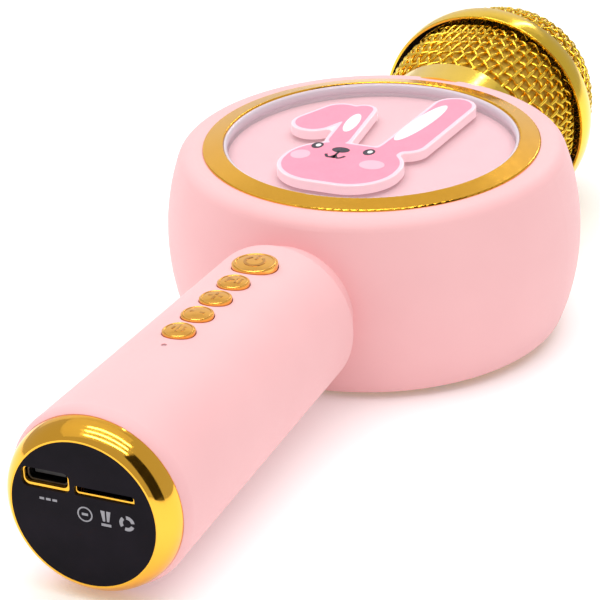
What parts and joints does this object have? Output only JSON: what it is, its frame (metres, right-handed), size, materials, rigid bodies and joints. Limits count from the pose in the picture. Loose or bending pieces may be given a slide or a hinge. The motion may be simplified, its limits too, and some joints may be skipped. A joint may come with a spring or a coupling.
{
  "type": "karaoke microphone",
  "caption": "Wireless handheld karaoke microphone with a round speaker drum, rabbit front panel, push buttons, a gold mesh head and ports in the handle's end.",
  "frame": {"origin": "centre of the drum's flat back ring, which lies on Z = 0", "axes": "+Z along the drum's axis towards the rabbit panel and the buttons, +Y along the microphone's length from the handle's end towards the mesh head, +X completes the right-handed frame"},
  "size_m": [0.0947, 0.2475, 0.0532],
  "materials": {
    "shell_pink": "soft-touch pale pink, fine moulded texture",
    "gold_trim": "polished electroplated gold",
    "gold_head": "bright lemon-gold plating",
    "label_black": "near-black satin film",
    "clear_acrylic": "clear polished acrylic",
    "panel_print": "pale pink printed card",
    "black_plastic": "moulded black plastic",
    "steel": "plain zinc-plated steel",
    "rubber_black": "soft black rubber",
    "foam_black": "open-cell foam",
    "board_green": "solder-masked circuit board",
    "ferrite": "ferrite magnet",
    "paper_cone": "pressed paper pulp",
    "copper": "enamelled copper winding",
    "cell_wrap": "shrink wrap",
    "wire_black": "insulated hook-up wire",
    "light_pipe": "clear light pipe"
  },
  "bodies": {
    "housing": {"drum_shell": "shell_pink", "screw_ring": "black_plastic", "front_ring": "gold_trim", "lens_tray": "clear_acrylic", "picture_panel": "panel_print", "rabbit_relief": "clear_acrylic", "back_plate": "shell_pink", "back_ring": "gold_trim", "back_grille": "gold_trim", "back_screws": "steel", "speaker_gasket": "foam_black", "speaker_basket": "steel", "speaker_front_plate": "steel", "speaker_magnet": "ferrite", "speaker_yoke": "steel", "speaker_surround": "rubber_black", "speaker_spider": "paper_cone", "amp_board": "board_green", "amp_components": "black_plastic", "handle_tube": "shell_pink", "neck_sleeve": "shell_pink", "status_light": "light_pipe", "end_cap": "gold_trim", "end_label": "label_black", "usb_receptacle": "steel", "usb_tongue": "black_plastic", "card_socket": "steel", "port_board": "board_green", "main_board": "board_green", "tact_switches": "black_plastic", "main_components": "black_plastic", "battery_cell": "cell_wrap", "battery_cradle": "black_plastic", "neck_ring": "gold_head", "spigot": "gold_head", "capsule_stalk": "black_plastic", "capsule_cradle": "rubber_black", "mic_capsule": "steel", "mic_wire": "wire_black", "speaker_wire": "wire_black", "power_wire": "wire_black"},
    "power_key": {"power_button": "gold_trim", "power_stem": "black_plastic"},
    "play_key": {"play_button": "gold_trim", "play_stem": "black_plastic"},
    "volume_up_key": {"volume_up_button": "gold_trim", "volume_up_stem": "black_plastic"},
    "volume_down_key": {"volume_down_button": "gold_trim", "volume_down_stem": "black_plastic"},
    "voice_key": {"voice_button": "gold_trim", "voice_stem": "black_plastic"},
    "cone": {"speaker_cone": "paper_cone", "voice_coil": "copper", "dust_cap": "paper_cone"},
    "head_seat": {"head_washer": "gold_head"},
    "head": {"head_collar": "gold_head", "lower_mesh": "gold_head", "head_band": "gold_head", "upper_mesh": "gold_head", "foam_windscreen": "foam_black"}
  },
  "joints": [
    {"name": "power_press", "type": "slide", "parent": "housing", "child": "power_key", "axis": [0, 0, -1], "range_m": [0, 0.0005], "stiffness_N_per_m": 800, "springref_m": -0.001},
    {"name": "play_press", "type": "slide", "parent": "housing", "child": "play_key", "axis": [0, 0, -1], "range_m": [0, 0.0005], "stiffness_N_per_m": 800, "springref_m": -0.001},
    {"name": "volume_up_press", "type": "slide", "parent": "housing", "child": "volume_up_key", "axis": [0, 0, -1], "range_m": [0, 0.0005], "stiffness_N_per_m": 800, "springref_m": -0.001},
    {"name": "volume_down_press", "type": "slide", "parent": "housing", "child": "volume_down_key", "axis": [0, 0, -1], "range_m": [0, 0.0005], "stiffness_N_per_m": 800, "springref_m": -0.001},
    {"name": "voice_press", "type": "slide", "parent": "housing", "child": "voice_key", "axis": [0, 0, -1], "range_m": [0, 0.0005], "stiffness_N_per_m": 800, "springref_m": -0.001},
    {"name": "cone_stroke", "type": "slide", "parent": "housing", "child": "cone", "axis": [0, 0, -1], "range_m": [-0.001, 0.001], "stiffness_N_per_m": 900, "deforming": ["speaker_surround", "speaker_spider"]},
    {"name": "head_lift", "type": "slide", "parent": "housing", "child": "head_seat", "axis": [0, 1, 0], "range_m": [0, 0.004]},
    {"name": "head_turn", "type": "hinge", "parent": "head_seat", "child": "head", "pos_m": [0, 0.0456, 0.0215], "axis": [0, 1, 0], "range_deg": [0, 720]}
  ],
  "couplings": [
    {"joint": "head_turn", "follows": "head_lift", "rad_per_m": 3141.6}
  ]
}
